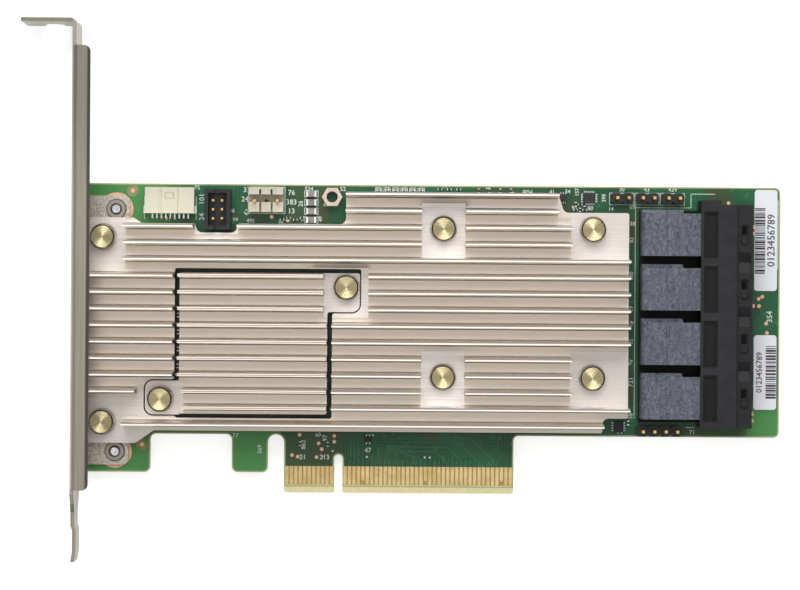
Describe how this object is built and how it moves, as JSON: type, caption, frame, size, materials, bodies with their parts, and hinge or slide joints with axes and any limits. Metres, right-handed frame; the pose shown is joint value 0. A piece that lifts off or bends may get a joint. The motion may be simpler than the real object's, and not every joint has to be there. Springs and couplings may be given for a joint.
{
  "type": "raid controller card",
  "caption": "Full-height expansion card with a finned two-piece heat sink, edge fingers, a folded slot bracket and a bank of drive connectors.",
  "frame": {"origin": "on the component face of the board, at the tip of the edge fingers, on the centre line of the key notch", "axes": "+X from the bracket to the drive connectors, +Y from the edge fingers to the top edge of the board, +Z out of the component face; the card lies on its back, components up"},
  "size_m": [0.169, 0.1203, 0.0192],
  "materials": {
    "solder_mask": "satin green solder mask",
    "gold": "hard gold plate",
    "sink_aluminium": "warm champagne anodised extrusion",
    "turned_brass": "turned, concentric marks",
    "spring_steel": "drawn wire",
    "substrate": "package laminate",
    "silicon": "polished",
    "thermal_pad": "soft gap filler",
    "chip_epoxy": "moulded epoxy",
    "ferrite": "pressed powder",
    "bracket_steel": "nickel plated sheet",
    "screw_steel": "bright zinc",
    "connector_black": "glass-filled nylon",
    "housing_grey": "speckled liquid-crystal polymer",
    "contact_gold": "gold flash",
    "ivory_nylon": "natural nylon",
    "header_black": "moulded",
    "tinned_copper": "matt tin",
    "capacitor_ceramic": "fired ceramic",
    "label_paper": "coated label"
  },
  "bodies": {
    "root": {"circuit_board": "solder_mask", "edge_contacts_front": "gold", "edge_contacts_back": "gold", "outer_heat_sink": "sink_aluminium", "inner_heat_sink": "sink_aluminium", "outer_push_pins": "turned_brass", "inner_push_pins": "turned_brass", "outer_pin_springs": "spring_steel", "inner_pin_springs": "spring_steel", "controller_substrate": "substrate", "controller_die": "silicon", "controller_thermal_pad": "thermal_pad", "memory_chips": "chip_epoxy", "memory_thermal_pads": "thermal_pad", "back_memory_chips": "chip_epoxy", "power_inductors": "ferrite", "power_regulators": "chip_epoxy", "flash_chip": "chip_epoxy", "mounting_bracket": "bracket_steel", "bracket_screws": "screw_steel", "port_shell": "connector_black", "port_contacts": "contact_gold", "wire_connector": "ivory_nylon", "wire_connector_pins": "contact_gold", "wire_connector_tails": "tinned_copper", "wire_connector_clips": "tinned_copper", "shrouded_header": "header_black", "shrouded_header_pins": "contact_gold", "key_header": "ivory_nylon", "key_header_pins": "contact_gold", "led_headers": "header_black", "led_header_pins": "contact_gold", "test_header": "header_black", "test_header_pins": "contact_gold", "hex_standoff": "screw_steel", "large_capacitor_bodies": "capacitor_ceramic", "large_capacitor_ends": "tinned_copper", "edge_capacitor_bodies": "capacitor_ceramic", "edge_capacitor_ends": "tinned_copper", "back_capacitor_bodies": "capacitor_ceramic", "back_capacitor_ends": "tinned_copper", "quad_chip": "chip_epoxy", "logic_chip": "chip_epoxy", "monitor_chip": "chip_epoxy", "transistor": "chip_epoxy", "back_chip": "chip_epoxy", "upper_label": "label_paper", "lower_label": "label_paper", "port_core_1": "header_black", "port_housing_1": "housing_grey", "port_core_2": "header_black", "port_housing_2": "housing_grey", "port_core_3": "header_black", "port_housing_3": "housing_grey", "port_core_4": "header_black", "port_housing_4": "housing_grey"}
  },
  "joints": []
}
